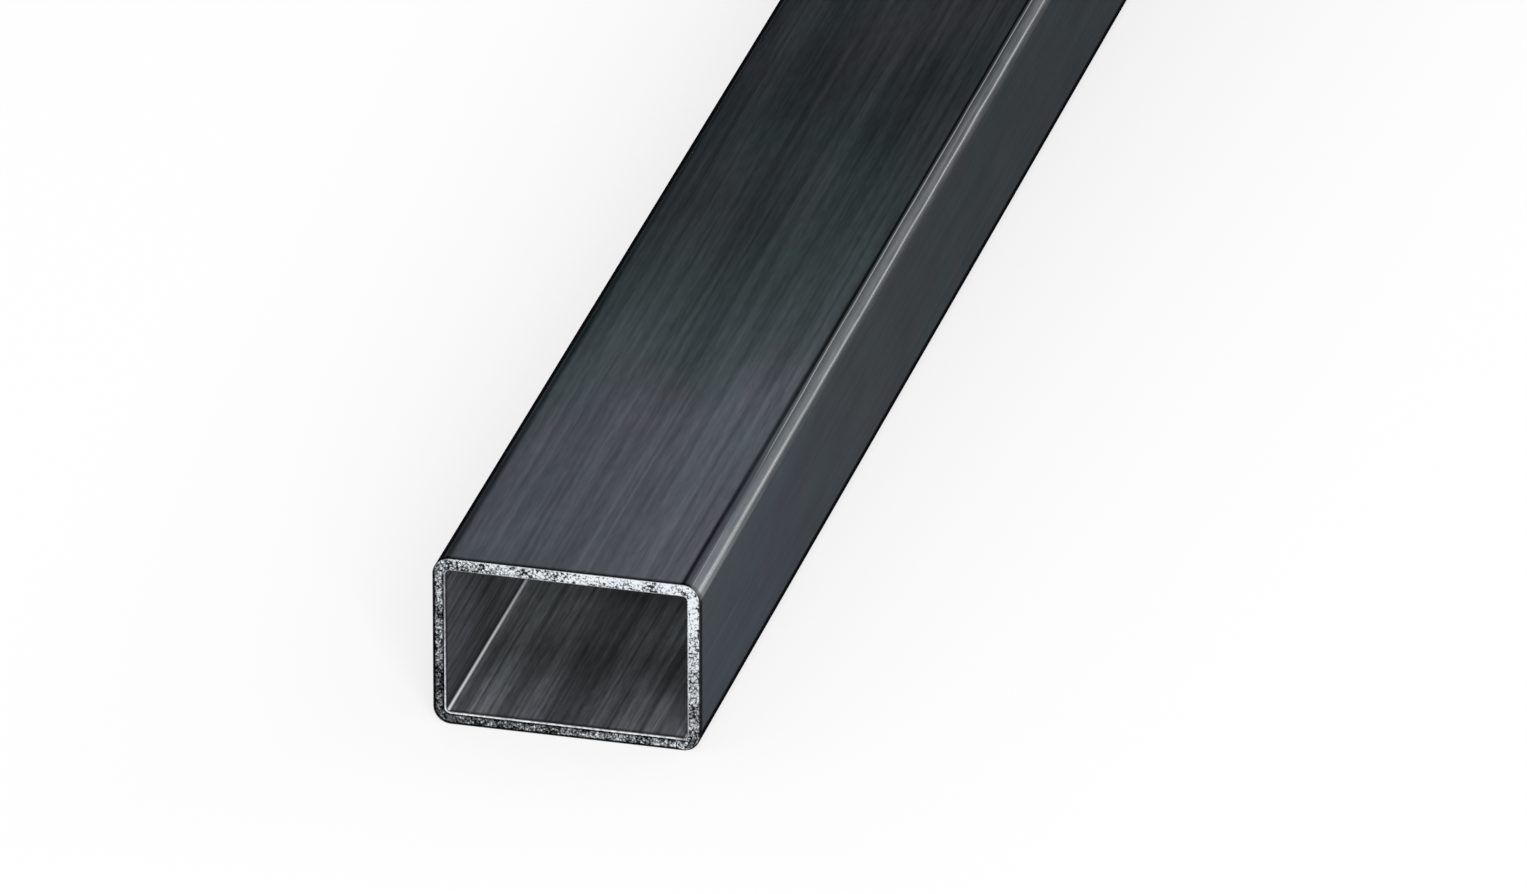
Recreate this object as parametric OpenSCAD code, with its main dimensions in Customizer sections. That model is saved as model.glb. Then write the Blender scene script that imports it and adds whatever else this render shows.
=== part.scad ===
// Rectangular steel tube, 60 x 40 x 3 mm: a rolled and welded hollow section,
// saw-cut to a stick and deburred at both cuts. It lies on a wide face, along Y.

/* [Section] */
// Outside width, across the wide faces
section_w = 60; // [40:1:120]
// Outside height, across the narrow faces
section_h = 40; // [24:1:100]
// Thickness of the rolled strip, the same all round
wall_t = 3; // [1.5:0.1:5]
// Inside radius of the four bends; the strip wraps round it at full thickness
bend_r = 1; // [0.5:0.1:4]

/* [Length] */
// Length of the stick, from cut to cut
stick_len = 1000; // [250:10:3000]

/* [Cut ends] */
// Bevel that deburring leaves on the outer edge of each cut
outer_bevel = 0.3; // [0.1:0.1:0.6]
// Bevel that deburring leaves on the inner edge of each cut
inner_bevel = 0.4; // [0.1:0.1:0.6]

/* [Hidden] */

// Sides of a full circle where a bend is drawn
$fn = 96;
// Colour of the dark mill skin
mill_skin = [0.27, 0.29, 0.31];
// How far the hollow's cutter runs past each cut, so that the mouths come out clean
overrun = 2;

// The strip keeps its thickness round the bends, so both arcs share a centre
outer_r = bend_r + wall_t;
hollow_w = section_w - 2 * wall_t;
hollow_h = section_h - 2 * wall_t;
half_len = stick_len / 2;

// Outline of a section: a w by h rectangle with corners of radius r
module rounded_outline(w, h, r) {
    square([w - 2 * r, h], center = true);
    square([w, h - 2 * r], center = true);
    for (x = [-1, 1], y = [-1, 1])
        translate([x * (w / 2 - r), y * (h / 2 - r)])
            circle(r);
}

// Block with two sides that lean out by spread over its depth, and two upright ones
module leaning_block(w, span, spread, depth) {
    rotate([90, 0, 0])
        linear_extrude(span, center = true)
            polygon([
                [-w / 2, 0], [w / 2, 0],
                [w / 2 + spread, depth], [-w / 2 - spread, depth]
            ]);
}

// Slab that starts as a rounded outline and grows by spread on every side.
// Its corners are true cones, so the bevel runs round each bend without a facet.
module flared_slab(w, h, r, spread, depth) {
    leaning_block(w, h - 2 * r, spread, depth);
    rotate([0, 0, 90])
        leaning_block(h, w - 2 * r, spread, depth);
    for (x = [-1, 1], y = [-1, 1])
        translate([x * (w / 2 - r), y * (h / 2 - r), 0])
            cylinder(h = depth, r1 = r, r2 = r + spread);
}

// Outside of the stick, centred on the origin along Z, bevelled at both cuts
module outer_form() {
    cut_w = section_w - 2 * outer_bevel;
    cut_h = section_h - 2 * outer_bevel;
    cut_r = outer_r - outer_bevel;
    linear_extrude(stick_len - 2 * outer_bevel, center = true)
        rounded_outline(section_w, section_h, outer_r);
    for (far = [0, 1])
        mirror([0, 0, far])
            translate([0, 0, -half_len])
                flared_slab(cut_w, cut_h, cut_r, outer_bevel, outer_bevel);
}

// Hollow through the stick, with a flared mouth at each cut
module hollow_form() {
    flare = inner_bevel + overrun;
    linear_extrude(stick_len + 2 * overrun, center = true)
        rounded_outline(hollow_w, hollow_h, bend_r);
    for (far = [0, 1])
        mirror([0, 0, far])
            translate([0, 0, half_len - inner_bevel])
                flared_slab(hollow_w, hollow_h, bend_r, flare, flare);
}

// The tube is one rolled and welded piece
module tube() {
    color(mill_skin)
        translate([0, 0, section_h / 2])
            rotate([90, 0, 0])
                difference() {
                    outer_form();
                    hollow_form();
                }
}

tube();
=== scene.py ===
# %% [markdown]
# # A stick of rectangular steel tube
# The object is raw stock: a 60 x 40 mm hollow section with a 3 mm wall, rolled
# from strip, welded along its length and sawn off. Its finishes tell the story. The
# outside keeps the dark skin of the rolling mill, drawn into fine lengthwise
# streaks. The inside has the same skin, duller and never touched by the rolls. The
# saw cut is bare, torn, bright metal, and its inner edge is bevelled. Much of the
# tube's light and shade is painted into these colours: highlights on the bends, the
# cut and its inner bevel, and shade along the edges, in the bore and under the tube.
# The imported model is the frame, and the scene's width, height and length are read
# from it.

from math import cos, pi, radians, sin
from types import SimpleNamespace

import bpy
from mathutils import Matrix, Vector


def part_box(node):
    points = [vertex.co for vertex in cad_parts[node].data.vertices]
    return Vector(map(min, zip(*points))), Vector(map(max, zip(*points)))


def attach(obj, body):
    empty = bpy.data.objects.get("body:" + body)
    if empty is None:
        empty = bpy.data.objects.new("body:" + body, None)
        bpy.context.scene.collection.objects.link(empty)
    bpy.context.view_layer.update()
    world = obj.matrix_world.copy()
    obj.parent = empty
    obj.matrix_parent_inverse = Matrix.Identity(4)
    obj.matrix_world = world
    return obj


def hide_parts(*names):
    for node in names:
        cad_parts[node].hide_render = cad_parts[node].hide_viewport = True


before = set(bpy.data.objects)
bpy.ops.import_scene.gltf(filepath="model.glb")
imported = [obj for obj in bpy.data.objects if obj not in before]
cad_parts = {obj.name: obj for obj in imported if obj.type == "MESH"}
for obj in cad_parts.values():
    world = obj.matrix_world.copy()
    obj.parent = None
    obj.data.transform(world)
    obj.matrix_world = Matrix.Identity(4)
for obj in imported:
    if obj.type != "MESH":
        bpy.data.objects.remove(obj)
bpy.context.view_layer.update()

low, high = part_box("tube")
WIDTH, LENGTH, HEIGHT = high - low
HALF_LENGTH = LENGTH / 2
MM = 0.001
print(f"tube: {WIDTH:.3f} x {HEIGHT:.3f} x {LENGTH:.3f} m")

# %% [markdown]
# ## The camera
# The photograph is taken from far away with a long lens, so the long edges run
# almost parallel. Its place was found from the picture: the direction from which
# the cut end and the long edges look as they do, and the pixel at which the middle
# of the cut lies. Working back from that pixel gives the camera's position, with
# no shift and no depth of field.

# %% Camera
IMAGE_W, IMAGE_H = 1527, 894
AZIMUTH, ELEVATION = radians(14.306), radians(25.782)
DISTANCE = 4.699
FOCAL_PX = 21674
CUT_CENTRE_PX = (566.1, 655.1)
SENSOR_MM = 36


def direction(azimuth, elevation):
    """Unit vector towards a point of the sky; azimuth 0 is behind the camera side, -Y."""
    return Vector((
        sin(azimuth) * cos(elevation),
        -cos(azimuth) * cos(elevation),
        sin(elevation),
    ))


def make_camera():
    forward = -direction(AZIMUTH, ELEVATION)
    right = forward.cross(Vector((0, 0, 1))).normalized()
    up = right.cross(forward)
    across = (CUT_CENTRE_PX[0] - IMAGE_W / 2) / FOCAL_PX
    above = (IMAGE_H / 2 - CUT_CENTRE_PX[1]) / FOCAL_PX
    ray = forward + across * right + above * up
    cut_centre = Vector((0, -HALF_LENGTH, HEIGHT / 2))
    data = bpy.data.cameras.new("camera")
    data.sensor_width = SENSOR_MM
    data.lens = FOCAL_PX * SENSOR_MM / IMAGE_W
    data.clip_end = 200
    camera = bpy.data.objects.new("camera", data)
    turn = Matrix((right, up, -forward)).transposed()
    camera.matrix_world = Matrix.Translation(cut_centre - ray * DISTANCE) @ turn.to_4x4()
    bpy.context.scene.collection.objects.link(camera)
    bpy.context.scene.camera = camera
    return camera


camera = make_camera()
place = [round(value, 3) for value in camera.matrix_world.translation]
print("camera at", place, f"lens {camera.data.lens:.0f} mm")

# %% [markdown]
# ## Small helpers for node trees
# A node tree in a script reads best when each node is one line: its kind, the
# settings it has, and what feeds it. The first helper below makes a node and joins
# it to its inputs. An input is given by its socket's name or number, and is a plain
# value or another node's output. The other two are the sums that come up most.

# %% Node helpers
def node(tree, kind, inputs=None, **settings):
    """Add a node, set it up and feed its sockets; returns the node."""
    made = tree.nodes.new(kind)
    for name, value in settings.items():
        setattr(made, name, value)
    for key, value in (inputs or {}).items():
        if isinstance(value, bpy.types.NodeSocket):
            tree.links.new(value, made.inputs[key])
        else:
            made.inputs[key].default_value = value
    return made


def math_node(tree, operation, *values, clamp=False):
    """One sum, as an output socket."""
    kind = "ShaderNodeMath"
    return node(tree, kind, dict(enumerate(values)), operation=operation, use_clamp=clamp).outputs[0]


def remap(tree, value, source, target, smooth=False):
    """Map a range of one value onto another, held at its ends."""
    kind = "SMOOTHSTEP" if smooth else "LINEAR"
    feeds = dict(enumerate((value, *source, *target)))
    return node(tree, "ShaderNodeMapRange", feeds, interpolation_type=kind).outputs[0]


# %% [markdown]
# ## The tube as a rule
# The section is one wall that goes round a rounded rectangle, so the shape is a
# sweep: the outline of the wall, seen from the side and cut along its length, is
# carried once round the section. In Geometry Nodes the path is a rectangle with
# filleted corners, and the profile is an eight-cornered loop: the two skins, the
# two cuts, and the four small bevels of the deburred edges. One sweep gives a closed
# mesh with no seam. The path and the two cuts are finely divided, because the saw
# leaves a torn surface there that needs real relief. The skins need none.

# %% Sizes of the tube
WALL = 3.0 * MM
BEND_OUTSIDE = 4.0 * MM
OUTER_BEVEL = 0.3 * MM
INNER_BEVEL = 0.4 * MM
GRAIN_STEP = 0.14 * MM
TEAR_SIZE = 0.6 * MM
TEAR_DEPTH = 0.16 * MM
TEAR_SEED = 4
BEND_STEPS = 40

SIZES = {
    "Width": WIDTH,
    "Height": HEIGHT,
    "Length": LENGTH,
    "Wall": WALL,
    "Bend radius": BEND_OUTSIDE,
    "Outer bevel": OUTER_BEVEL,
    "Inner bevel": INNER_BEVEL,
    "Grain step": GRAIN_STEP,
    "Tear size": TEAR_SIZE,
    "Tear depth": TEAR_DEPTH,
}

# %% Materials, made first so that the tree can set them
skin = bpy.data.materials.new("mill_skin")
bore = bpy.data.materials.new("bore_skin")
sawn = bpy.data.materials.new("sawn_steel")
bevel_finish = bpy.data.materials.new("inner_bevel_steel")


# %% The tree's inputs
def start_tree():
    """A tree with a named input for each size; returns it and its inputs."""
    tree = bpy.data.node_groups.new("rolled_tube", "GeometryNodeTree")
    tree.interface.new_socket("Geometry", in_out="OUTPUT", socket_type="NodeSocketGeometry")
    for name in SIZES:
        tree.interface.new_socket(name, in_out="INPUT", socket_type="NodeSocketFloat")
    tree.interface.new_socket("Seed", in_out="INPUT", socket_type="NodeSocketInt")
    return tree, node(tree, "NodeGroupInput").outputs


# %% The path round the section
def section_path(tree, size):
    """The outside of the section as a finely divided loop."""
    sides = {"Width": size["Width"], "Height": size["Height"]}
    box = node(tree, "GeometryNodeCurvePrimitiveQuadrilateral", sides)
    feeds = {"Curve": box.outputs[0], "Radius": size["Bend radius"], "Count": BEND_STEPS}
    rounded = node(tree, "GeometryNodeFilletCurve", feeds, mode="POLY")
    feeds = {"Curve": rounded.outputs[0], "Length": size["Grain step"]}
    return node(tree, "GeometryNodeResampleCurve", feeds, mode="LENGTH").outputs[0]


# %% The profile of the wall
def kept_as(tree, name, value, geometry):
    """Keep a value on every point under a name, for later nodes and the materials."""
    feeds = {"Geometry": geometry, "Name": name, "Value": value}
    kind = "GeometryNodeStoreNamedAttribute"
    return node(tree, kind, feeds, data_type="FLOAT", domain="POINT").outputs[0]


def wall_corners(tree, size):
    """The eight corners of the wall seen from the side: a depth, a length and a side each."""
    half = math_node(tree, "MULTIPLY", size["Length"], 0.5)
    outer_end = math_node(tree, "SUBTRACT", half, size["Outer bevel"])
    inner_end = math_node(tree, "SUBTRACT", half, size["Inner bevel"])
    inner_edge = math_node(tree, "SUBTRACT", size["Wall"], size["Inner bevel"])
    quarter = [
        (0.0, outer_end),
        (size["Outer bevel"], half),
        (inner_edge, half),
        (size["Wall"], inner_end),
    ]
    corners = [(depth, along, 1) for depth, along in quarter]
    return corners + [(depth, along, -1) for depth, along in reversed(quarter)]


def corner_number(tree, index, number):
    """True at one corner of the wall's outline."""
    feeds = {2: index, 3: number}
    return node(tree, "FunctionNodeCompare", feeds, data_type="INT", operation="EQUAL").outputs[0]


def cut_divided(tree, size, loop, index):
    """Divide the two edges of the outline that lie in the cuts, and no others."""
    ends = {0: corner_number(tree, index, 1), 1: corner_number(tree, index, 5)}
    on_cut = node(tree, "FunctionNodeBooleanMath", ends, operation="OR").outputs[0]
    cells = math_node(tree, "DIVIDE", size["Wall"], size["Grain step"])
    feeds = {"Switch": on_cut, "False": 1, "True": cells}
    steps = node(tree, "GeometryNodeSwitch", feeds, input_type="INT").outputs[0]
    return node(tree, "GeometryNodeSubdivideCurve", {"Curve": loop, "Cuts": steps}).outputs[0]


def wall_outline(tree, size):
    """The wall seen from the side, as a loop that keeps each point's depth in the wall."""
    corners = wall_corners(tree, size)
    loop = node(tree, "GeometryNodeCurvePrimitiveCircle", {"Resolution": len(corners)})
    index = node(tree, "GeometryNodeInputIndex").outputs[0]
    pick = node(tree, "GeometryNodeIndexSwitch", {"Index": index}, data_type="VECTOR")
    for _ in corners[2:]:
        pick.index_switch_items.new()
    for number, (depth, along, side) in enumerate(corners, start=1):
        inward = math_node(tree, "MULTIPLY", depth, -1.0)
        place = {"X": inward, "Y": math_node(tree, "MULTIPLY", along, side)}
        tree.links.new(node(tree, "ShaderNodeCombineXYZ", place).outputs[0], pick.inputs[number])
    feeds = {"Geometry": loop.outputs[0], "Position": pick.outputs[0]}
    placed = node(tree, "GeometryNodeSetPosition", feeds).outputs[0]
    divided = cut_divided(tree, size, placed, index)
    place = node(tree, "GeometryNodeInputPosition").outputs[0]
    across = node(tree, "ShaderNodeSeparateXYZ", {0: place}).outputs["X"]
    return kept_as(tree, "depth", math_node(tree, "MULTIPLY", across, -1.0), divided)


# %% [markdown]
# ## The torn cut
# A saw tears its last chips out, and the broken grains leave flakes and pits about
# half a millimetre across. Two noises make them: rounded Voronoi cells for the
# flakes and a finer cloud for the grains in them. The relief only ever goes into
# the metal, so the cut keeps its place, and it fades out over the bevels. Its
# depth is kept on the mesh as an attribute, because the pits are also darker.

# %% The relief of the cuts
FLAKE_SHARE = 0.75
GRAINS_PER_FLAKE = 2.4
FLAKE_SOFTNESS = 0.35
RELIEF_RANGE = (0.45, 1.25)


def distance_from_end(tree, size, axis):
    """Each point's place along the tube's axis, and its distance from the nearer end."""
    place = node(tree, "GeometryNodeInputPosition").outputs[0]
    along = node(tree, "ShaderNodeSeparateXYZ", {0: place}).outputs[axis]
    half = math_node(tree, "MULTIPLY", size["Length"], 0.5)
    return along, math_node(tree, "SUBTRACT", half, math_node(tree, "ABSOLUTE", along))


def torn_relief(tree, size):
    """Flakes with grains in them, from 0 on the cut's own plane to 1 in the deepest pits."""
    place = node(tree, "GeometryNodeInputPosition").outputs[0]
    shift = node(tree, "ShaderNodeCombineXYZ", {"X": size["Seed"], "Y": size["Seed"]}).outputs[0]
    spot = node(tree, "ShaderNodeVectorMath", {0: place, 1: shift}, operation="ADD").outputs[0]
    feeds = {"Vector": spot, "Scale": math_node(tree, "DIVIDE", 1.0, size["Tear size"])}
    flakes = node(tree, "ShaderNodeTexVoronoi", feeds, feature="SMOOTH_F1")
    flakes.inputs["Smoothness"].default_value = FLAKE_SOFTNESS
    feeds = {"Vector": spot, "Scale": math_node(tree, "DIVIDE", GRAINS_PER_FLAKE, size["Tear size"])}
    grains = node(tree, "ShaderNodeTexNoise", feeds)
    flake, grain = flakes.outputs["Distance"], grains.outputs["Fac"]
    relief = math_node(tree, "MULTIPLY_ADD", flake, FLAKE_SHARE, grain)
    return remap(tree, relief, RELIEF_RANGE, (0.0, 1.0))


def torn_cuts(tree, size, mesh):
    """Push both cuts in by the torn relief, and keep its depth as an attribute."""
    along, from_end = distance_from_end(tree, size, "Z")
    bevels = math_node(tree, "DIVIDE", from_end, size["Outer bevel"])
    on_cut = math_node(tree, "SUBTRACT", 1.0, bevels, clamp=True)
    pit = math_node(tree, "MULTIPLY", torn_relief(tree, size), on_cut)
    inward = math_node(tree, "MULTIPLY", math_node(tree, "SIGN", along), -1.0)
    depth = math_node(tree, "MULTIPLY", pit, size["Tear depth"])
    offset = node(tree, "ShaderNodeCombineXYZ", {"Z": math_node(tree, "MULTIPLY", depth, inward)})
    feeds = {"Geometry": kept_as(tree, "pit", pit, mesh), "Offset": offset.outputs[0]}
    return node(tree, "GeometryNodeSetPosition", feeds).outputs[0]


# %% Sharp edges, place and finishes
CRISP_ANGLE = radians(30)


def crisp_edges(tree, mesh):
    """Smooth shading that breaks at the bevels' edges."""
    angle = node(tree, "GeometryNodeInputMeshEdgeAngle").outputs["Unsigned Angle"]
    feeds = {0: angle, 1: CRISP_ANGLE}
    sharp = node(tree, "FunctionNodeCompare", feeds, data_type="FLOAT", operation="GREATER_THAN")
    feeds = {"Geometry": mesh, "Selection": sharp.outputs[0], "Shade Smooth": False}
    return node(tree, "GeometryNodeSetShadeSmooth", feeds, domain="EDGE").outputs[0]


def laid_down(tree, size, mesh):
    """Turn the sweep, which stands along Z, so that it lies along Y on the floor."""
    lift = math_node(tree, "MULTIPLY", size["Height"], 0.5)
    up = node(tree, "ShaderNodeCombineXYZ", {"Z": lift}).outputs[0]
    feeds = {"Geometry": mesh, "Translation": up, "Rotation": (pi / 2, 0.0, 0.0)}
    return node(tree, "GeometryNodeTransform", feeds).outputs[0]


def finished(tree, size, mesh):
    """Set the finish of each face by its depth in the wall and its distance from the end."""
    kind = "GeometryNodeInputNamedAttribute"
    depth = node(tree, kind, {"Name": "depth"}, data_type="FLOAT").outputs[0]
    along, from_end = distance_from_end(tree, size, "Y")
    inside = math_node(tree, "GREATER_THAN", depth, math_node(tree, "MULTIPLY", size["Wall"], 0.5))
    at_end = math_node(tree, "LESS_THAN", from_end, size["Inner bevel"])
    bevel_from = math_node(tree, "SUBTRACT", size["Wall"], size["Inner bevel"])
    on_bevel = math_node(tree, "MULTIPLY", at_end, math_node(tree, "GREATER_THAN", depth, bevel_from))
    for selection, material in ((True, skin), (inside, bore), (at_end, sawn), (on_bevel, bevel_finish)):
        feeds = {"Geometry": mesh, "Selection": selection, "Material": material}
        mesh = node(tree, "GeometryNodeSetMaterial", feeds).outputs[0]
    return mesh


# %% The tube's mesh
def make_tube():
    """Run the tree once and keep its result as a plain mesh."""
    tree, size = start_tree()
    feeds = {"Curve": section_path(tree, size), "Profile Curve": wall_outline(tree, size)}
    swept = node(tree, "GeometryNodeCurveToMesh", feeds).outputs[0]
    mesh = crisp_edges(tree, swept)
    mesh = laid_down(tree, size, torn_cuts(tree, size, mesh))
    mesh = node(tree, "GeometryNodeRealizeInstances", {"Geometry": mesh}).outputs[0]
    node(tree, "NodeGroupOutput", {0: finished(tree, size, mesh)})

    piece = bpy.data.objects.new("rolled_tube", bpy.data.meshes.new("rolled_tube"))
    bpy.context.scene.collection.objects.link(piece)
    sweep = piece.modifiers.new("sweep", "NODES")
    sweep.node_group = tree
    values = SIZES | {"Seed": TEAR_SEED}
    for socket in tree.interface.items_tree:
        if socket.in_out == "INPUT":
            sweep[socket.identifier] = values[socket.name]
    evaluated = piece.evaluated_get(bpy.context.evaluated_depsgraph_get())
    piece.data = bpy.data.meshes.new_from_object(evaluated)
    piece.modifiers.clear()
    return piece


tube = make_tube()
print("tube mesh:", len(tube.data.vertices), "points,", 2 * len(tube.data.polygons), "triangles")
print("finishes:", [slot.name for slot in tube.material_slots])
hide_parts("tube")
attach(tube, "root")


# %% [markdown]
# ## Tools for the finishes
# Every finish on this tube follows its length or its section, so the materials
# read the object's own coordinates, in metres. Streaks are a noise stretched along
# Y. The place on a bend is an angle worked out from the bend's centre: it is 0 on
# the upper and lower faces, 1 on the two sides, and rises round each bend. The
# inner and outer bends share their centres, so one rule serves both skins.

# %% A material, and where a point lies
EDGE_TINT = 0.35
QUARTER_TURN = BEND_OUTSIDE * pi / 2


def start_material(material, metallic, edge_tint):
    """Clear a material and give it one metal shader; returns its tree and shader."""
    material.use_nodes = True
    tree = material.node_tree
    tree.nodes.clear()
    shader = node(tree, "ShaderNodeBsdfPrincipled", {"Metallic": metallic})
    shader.inputs["Specular Tint"].default_value = (edge_tint, edge_tint, edge_tint, 1)
    node(tree, "ShaderNodeOutputMaterial", {"Surface": shader.outputs[0]})
    return tree, shader


def object_place(tree):
    """Object coordinates, which are metres in the row's frame."""
    return node(tree, "ShaderNodeTexCoord").outputs["Object"]


def object_xyz(tree):
    return node(tree, "ShaderNodeSeparateXYZ", {0: object_place(tree)}).outputs


def distance_from_cut(tree, along):
    """How far a point is from the nearer cut; both ends of the tube are alike."""
    return math_node(tree, "SUBTRACT", HALF_LENGTH, math_node(tree, "ABSOLUTE", along))


def turn_of_bend(tree):
    """0 on the upper and lower faces, 1 on the sides, rising round each bend."""
    x, y, z = object_xyz(tree)
    above_middle = math_node(tree, "SUBTRACT", z, HEIGHT / 2)
    past = []
    for place, size in ((x, WIDTH), (above_middle, HEIGHT)):
        out = math_node(tree, "SUBTRACT", math_node(tree, "ABSOLUTE", place), size / 2 - BEND_OUTSIDE)
        past.append(math_node(tree, "MAXIMUM", out, 0.0))
    angle = math_node(tree, "ARCTAN2", *past)
    return math_node(tree, "DIVIDE", angle, pi / 2)


# %% Factors that a colour is multiplied by
def product(tree, *factors):
    """Several factors multiplied into one."""
    result = factors[0]
    for factor in factors[1:]:
        result = math_node(tree, "MULTIPLY", result, factor)
    return result


def change(tree, share, amount):
    """A factor that is 1 where the share is 0, and 1 plus the amount where it is 1."""
    return math_node(tree, "MULTIPLY_ADD", share, amount, 1.0)


def near_to_far(tree, from_cut, reach, near, far):
    """A value that goes from one at the cut to another at a distance and beyond."""
    return remap(tree, from_cut, (0.0, reach), (near, far))


def band(tree, value, middle, half_width):
    """1 where a value is at the middle of the band, falling smoothly to 0 at its edges."""
    away = math_node(tree, "ABSOLUTE", math_node(tree, "SUBTRACT", value, middle))
    return remap(tree, away, (0.0, half_width), (1.0, 0.0), smooth=True)


def ridge(tree, value, start, middle, end):
    """1 where a value is at the middle, falling smoothly to 0 at two ends that may be unlike."""
    rising = remap(tree, value, (start, middle), (0.0, 1.0), smooth=True)
    falling = remap(tree, value, (middle, end), (1.0, 0.0), smooth=True)
    return math_node(tree, "MINIMUM", rising, falling)


# %% Noise, drawn out or even
def streaks(tree, width, length, detail=3.0, seed=0.0):
    """Noise drawn out along the tube, from 0 to 1; width and length are in metres."""
    scale = (1 / width, 1 / length, 1 / width)
    feeds = {0: object_place(tree), 1: scale, 2: (seed, seed, seed)}
    spot = node(tree, "ShaderNodeVectorMath", feeds, operation="MULTIPLY_ADD").outputs[0]
    feeds = {"Vector": spot, "Scale": 1.0, "Detail": detail, "Distortion": 0.5}
    return node(tree, "ShaderNodeTexNoise", feeds).outputs["Fac"]


def drawn(tree, kinds):
    """Kinds of streak in one factor; each has a width, a length, a contrast, a seed and a detail."""
    tones = []
    for width, length, contrast, seed, detail in kinds:
        noise = streaks(tree, width, length, detail, seed)
        tones.append(remap(tree, noise, (0.3, 0.7), (1 - contrast, 1 + contrast)))
    return product(tree, *tones)


def even_noise(tree, size):
    """Noise of one size in all directions, from 0 to 1."""
    feeds = {"Vector": object_place(tree), "Scale": 1 / size, "Detail": 1.0}
    return node(tree, "ShaderNodeTexNoise", feeds).outputs["Fac"]


# %% Colours
def ramp(tree, value, stops):
    """Colours along a value; each stop is a place and a colour."""
    made = node(tree, "ShaderNodeValToRGB", {0: value})
    elements = made.color_ramp.elements
    while len(elements) < len(stops):
        elements.new(0.5)
    for element, (place, _) in zip(elements, stops):
        element.position = place
    for element, (_, colour) in zip(elements, stops):
        element.color = (*colour, 1)
    return made.outputs[0]


def scaled(tree, colour, value):
    """A colour made lighter or darker by a value."""
    return node(tree, "ShaderNodeVectorMath", {0: colour, 3: value}, operation="SCALE").outputs[0]


def mixed(tree, share, first, second):
    """Two colours mixed; a share of 1 gives the second."""
    feeds = {0: share, 6: first, 7: second}
    return node(tree, "ShaderNodeMix", feeds, data_type="RGBA").outputs[2]


# %% [markdown]
# ## The mill skin
# The dark skin is a thin oxide, half metal and half glass. Seen straight on it is
# a dark blue grey, and unlike bare metal it doesn't turn white at a low angle: its
# edge tint is low. It is built up here in layers. The oxide's colour drifts from
# violet grey at the cut through green to near black further in. It is brighter
# near the cut and lighter towards the right, and that is painted light. The rolls
# drew it into long streaks, and painted shade lies along its edges and under it.
# Last, the bends get strips of bare metal colour, partly wear and partly painted
# highlights. Each layer is a function that reads the same few places, and the last
# cell joins them.

# %% Places on the skin
SIDES_MEET = (-1 * MM, 1 * MM)
WANDER_WIDTH, WANDER_LENGTH, WANDER_SEED = 20 * MM, 30 * MM, 47.0
WANDER_BY = 0.10

# For near_to_far: a distance, the value at the cut and the value at that distance
BEND_POWER = (0.12, 1.35, 1.0)

# For band: its middle and its half width, here metres from the cut
QUIET_AT = (0.046, 0.034)


def skin_place(tree):
    """Where a point of the skin lies, as sockets that every layer of the finish reads."""
    x, along, z = object_xyz(tree)
    from_cut = distance_from_cut(tree, along)
    turn = turn_of_bend(tree)
    past_flat = math_node(tree, "SUBTRACT", math_node(tree, "ABSOLUTE", x), WIDTH / 2 - BEND_OUTSIDE)
    over_flat = math_node(tree, "MINIMUM", past_flat, 0.0)
    right = remap(tree, x, SIDES_MEET, (0.0, 1.0))
    on_bend = band(tree, turn, 0.5, 0.5)
    drift = streaks(tree, WANDER_WIDTH, WANDER_LENGTH, detail=1.0, seed=WANDER_SEED)
    wander = math_node(tree, "MULTIPLY_ADD", drift, WANDER_BY, -WANDER_BY / 2)
    wandering = math_node(tree, "MULTIPLY_ADD", wander, on_bend, turn)
    power = near_to_far(tree, from_cut, *BEND_POWER)
    return SimpleNamespace(
        x=x,
        z=z,
        from_cut=from_cut,
        right=right,
        left=math_node(tree, "SUBTRACT", 1.0, right),
        turn=turn,
        reach=math_node(tree, "MULTIPLY_ADD", over_flat, 1 / QUARTER_TURN, turn),
        on_bend=on_bend,
        wandering=wandering,
        round_bend=math_node(tree, "POWER", wandering, power),
        quiet=band(tree, from_cut, *QUIET_AT),
    )


# %% Clouds of oxide, with painted light near the cut
# Painted light: both ramps are brightest near the cut, and the upper faces and the sides are each tuned
# to how they are lit
TOP_CLOUDS = [
    (0.00, (0.104, 0.113, 0.130)),
    (0.14, (0.104, 0.114, 0.130)),
    (0.22, (0.077, 0.091, 0.099)),
    (0.30, (0.055, 0.069, 0.072)),
    (0.38, (0.048, 0.056, 0.060)),
    (0.50, (0.041, 0.046, 0.049)),
    (0.78, (0.056, 0.061, 0.067)),
    (1.00, (0.050, 0.056, 0.060)),
]
SIDE_CLOUDS = [
    (0.00, (0.084, 0.096, 0.116)),
    (0.30, (0.070, 0.080, 0.086)),
    (0.60, (0.060, 0.072, 0.080)),
    (1.00, (0.064, 0.073, 0.080)),
]
TINTS = [
    (0.32, (0.965, 1.012, 1.00)),
    (0.50, (1.0, 1.0, 1.0)),
    (0.68, (1.035, 0.992, 1.01)),
]
CLOUD_DRIFT, CLOUD_START = 0.16, -0.10
CLOUD_LIGHT_LEAN = -1.1
TINT_SEED = 15.0


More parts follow.
